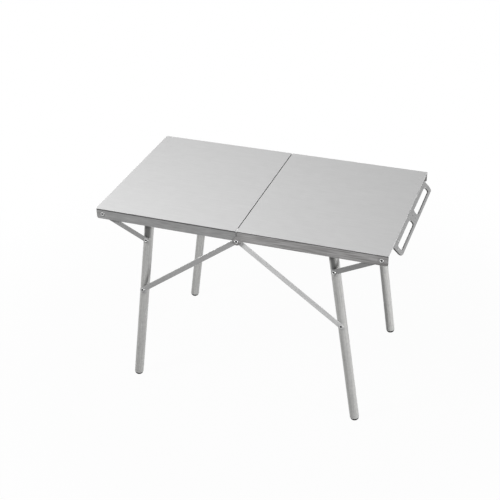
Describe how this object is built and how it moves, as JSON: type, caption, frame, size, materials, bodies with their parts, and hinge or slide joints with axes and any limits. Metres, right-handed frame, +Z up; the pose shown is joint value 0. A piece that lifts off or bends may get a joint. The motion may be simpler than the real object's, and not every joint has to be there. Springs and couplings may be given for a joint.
{
  "type": "folding camp table",
  "caption": "Folding camp table: two hinged sheet-metal halves on splayed tube legs, each leg held by a short corner brace and a long brace from the centre hinge, with a slotted carry handle.",
  "frame": {"origin": "centre of the bounding box on the floor, between the four feet", "axes": "+X along the table towards the carry handle, +Y from the front to the back, +Z up"},
  "size_m": [1.0291, 0.5956, 0.69],
  "materials": {
    "panel_sheet": "satin sheet",
    "rail_sheet": "brushed sheet",
    "handle_sheet": "brushed sheet",
    "leg_tube": "drawn tube, dull",
    "brace_bar": "zinc-plated flat bar",
    "rivets": "bright",
    "leg_plugs": "moulded",
    "feet": "moulded"
  },
  "bodies": {
    "right_half": {"right_top_panel": "panel_sheet", "right_front_rail": "rail_sheet", "right_rear_rail": "rail_sheet", "right_hinge_cross_rail": "rail_sheet", "carry_handle": "handle_sheet", "front_hinge_rivet": "rivets", "rear_hinge_rivet": "rivets", "front_right_corner_rivet": "rivets", "front_right_corner_washer": "rivets", "rear_right_corner_rivet": "rivets", "rear_right_corner_washer": "rivets"},
    "left_half": {"left_top_panel": "panel_sheet", "left_front_rail": "rail_sheet", "left_rear_rail": "rail_sheet", "left_hinge_cross_rail": "rail_sheet", "left_end_rail": "rail_sheet", "front_left_corner_rivet": "rivets", "front_left_corner_washer": "rivets", "rear_left_corner_rivet": "rivets", "rear_left_corner_washer": "rivets"},
    "front_left_short_brace": {"front_left_short_brace": "brace_bar"},
    "front_left_leg": {"front_left_leg": "leg_tube", "front_left_leg_plug": "leg_plugs", "front_left_foot": "feet", "front_left_upper_leg_rivet": "rivets", "front_left_upper_leg_washer": "rivets", "front_left_lower_leg_rivet_tail": "rivets"},
    "front_left_long_brace": {"front_left_long_brace": "brace_bar", "front_left_lower_leg_rivet": "rivets", "front_left_lower_leg_washer": "rivets"},
    "rear_left_short_brace": {"rear_left_short_brace": "brace_bar"},
    "rear_left_leg": {"rear_left_leg": "leg_tube", "rear_left_leg_plug": "leg_plugs", "rear_left_foot": "feet", "rear_left_upper_leg_rivet": "rivets", "rear_left_upper_leg_washer": "rivets", "rear_left_lower_leg_rivet_tail": "rivets"},
    "rear_left_long_brace": {"rear_left_long_brace": "brace_bar", "rear_left_lower_leg_rivet": "rivets", "rear_left_lower_leg_washer": "rivets"},
    "front_right_short_brace": {"front_right_short_brace": "brace_bar"},
    "front_right_leg": {"front_right_leg": "leg_tube", "front_right_leg_plug": "leg_plugs", "front_right_foot": "feet", "front_right_upper_leg_rivet": "rivets", "front_right_upper_leg_washer": "rivets", "front_right_lower_leg_rivet_tail": "rivets"},
    "front_right_long_brace": {"front_right_long_brace": "brace_bar", "front_right_lower_leg_rivet": "rivets"},
    "rear_right_short_brace": {"rear_right_short_brace": "brace_bar"},
    "rear_right_leg": {"rear_right_leg": "leg_tube", "rear_right_leg_plug": "leg_plugs", "rear_right_foot": "feet", "rear_right_upper_leg_rivet": "rivets", "rear_right_upper_leg_washer": "rivets", "rear_right_lower_leg_rivet_tail": "rivets"},
    "rear_right_long_brace": {"rear_right_long_brace": "brace_bar", "rear_right_lower_leg_rivet": "rivets"}
  },
  "joints": [
    {"name": "centre_fold", "type": "hinge", "parent": "right_half", "child": "left_half", "pos_m": [-0.01472, 0, 0.65], "axis": [0, -1, 0], "range_deg": [0, 60]},
    {"name": "front_left_leg_fold", "type": "hinge", "parent": "left_half", "child": "front_left_short_brace", "pos_m": [-0.49272, -0.2906, 0.67], "axis": [0, 1, 0], "range_deg": [0, 153.69]},
    {"name": "front_left_leg_pivot", "type": "hinge", "parent": "front_left_short_brace", "child": "front_left_leg", "pos_m": [-0.34033, -0.2906, 0.59465], "axis": [0, -1, 0], "range_deg": [0, 251.74]},
    {"name": "front_left_long_brace_pivot", "type": "hinge", "parent": "left_half", "child": "front_left_long_brace", "pos_m": [-0.01472, -0.2906, 0.65], "axis": [0, 1, 0], "range_deg": [0, 39.04]},
    {"name": "rear_left_leg_fold", "type": "hinge", "parent": "left_half", "child": "rear_left_short_brace", "pos_m": [-0.49272, 0.2906, 0.67], "axis": [0, 1, 0], "range_deg": [0, 153.69]},
    {"name": "rear_left_leg_pivot", "type": "hinge", "parent": "rear_left_short_brace", "child": "rear_left_leg", "pos_m": [-0.34033, 0.2906, 0.59465], "axis": [0, -1, 0], "range_deg": [0, 251.74]},
    {"name": "rear_left_long_brace_pivot", "type": "hinge", "parent": "left_half", "child": "rear_left_long_brace", "pos_m": [-0.01472, 0.2906, 0.65], "axis": [0, 1, 0], "range_deg": [0, 39.04]},
    {"name": "front_right_leg_fold", "type": "hinge", "parent": "right_half", "child": "front_right_short_brace", "pos_m": [0.46328, -0.2906, 0.67], "axis": [0, -1, 0], "range_deg": [0, 153.69]},
    {"name": "front_right_leg_pivot", "type": "hinge", "parent": "front_right_short_brace", "child": "front_right_leg", "pos_m": [0.31089, -0.2906, 0.59465], "axis": [0, 1, 0], "range_deg": [0, 251.74]},
    {"name": "front_right_long_brace_pivot", "type": "hinge", "parent": "right_half", "child": "front_right_long_brace", "pos_m": [-0.01472, -0.2906, 0.65], "axis": [0, -1, 0], "range_deg": [0, 39.04]},
    {"name": "rear_right_leg_fold", "type": "hinge", "parent": "right_half", "child": "rear_right_short_brace", "pos_m": [0.46328, 0.2906, 0.67], "axis": [0, -1, 0], "range_deg": [0, 153.69]},
    {"name": "rear_right_leg_pivot", "type": "hinge", "parent": "rear_right_short_brace", "child": "rear_right_leg", "pos_m": [0.31089, 0.2906, 0.59465], "axis": [0, 1, 0], "range_deg": [0, 251.74]},
    {"name": "rear_right_long_brace_pivot", "type": "hinge", "parent": "right_half", "child": "rear_right_long_brace", "pos_m": [-0.01472, 0.2906, 0.65], "axis": [0, -1, 0], "range_deg": [0, 39.04]}
  ],
  "couplings": [
    {"joint": "front_left_leg_pivot", "follows": "front_left_leg_fold", "ratio": 1.6376},
    {"joint": "front_left_long_brace_pivot", "follows": "front_left_leg_fold", "ratio": 0.25372},
    {"joint": "rear_left_leg_pivot", "follows": "rear_left_leg_fold", "ratio": 1.6376},
    {"joint": "rear_left_long_brace_pivot", "follows": "rear_left_leg_fold", "ratio": 0.25372},
    {"joint": "front_right_leg_pivot", "follows": "front_right_leg_fold", "ratio": 1.6376},
    {"joint": "front_right_long_brace_pivot", "follows": "front_right_leg_fold", "ratio": 0.25372},
    {"joint": "rear_right_leg_pivot", "follows": "rear_right_leg_fold", "ratio": 1.6376},
    {"joint": "rear_right_long_brace_pivot", "follows": "rear_right_leg_fold", "ratio": 0.25372}
  ]
}
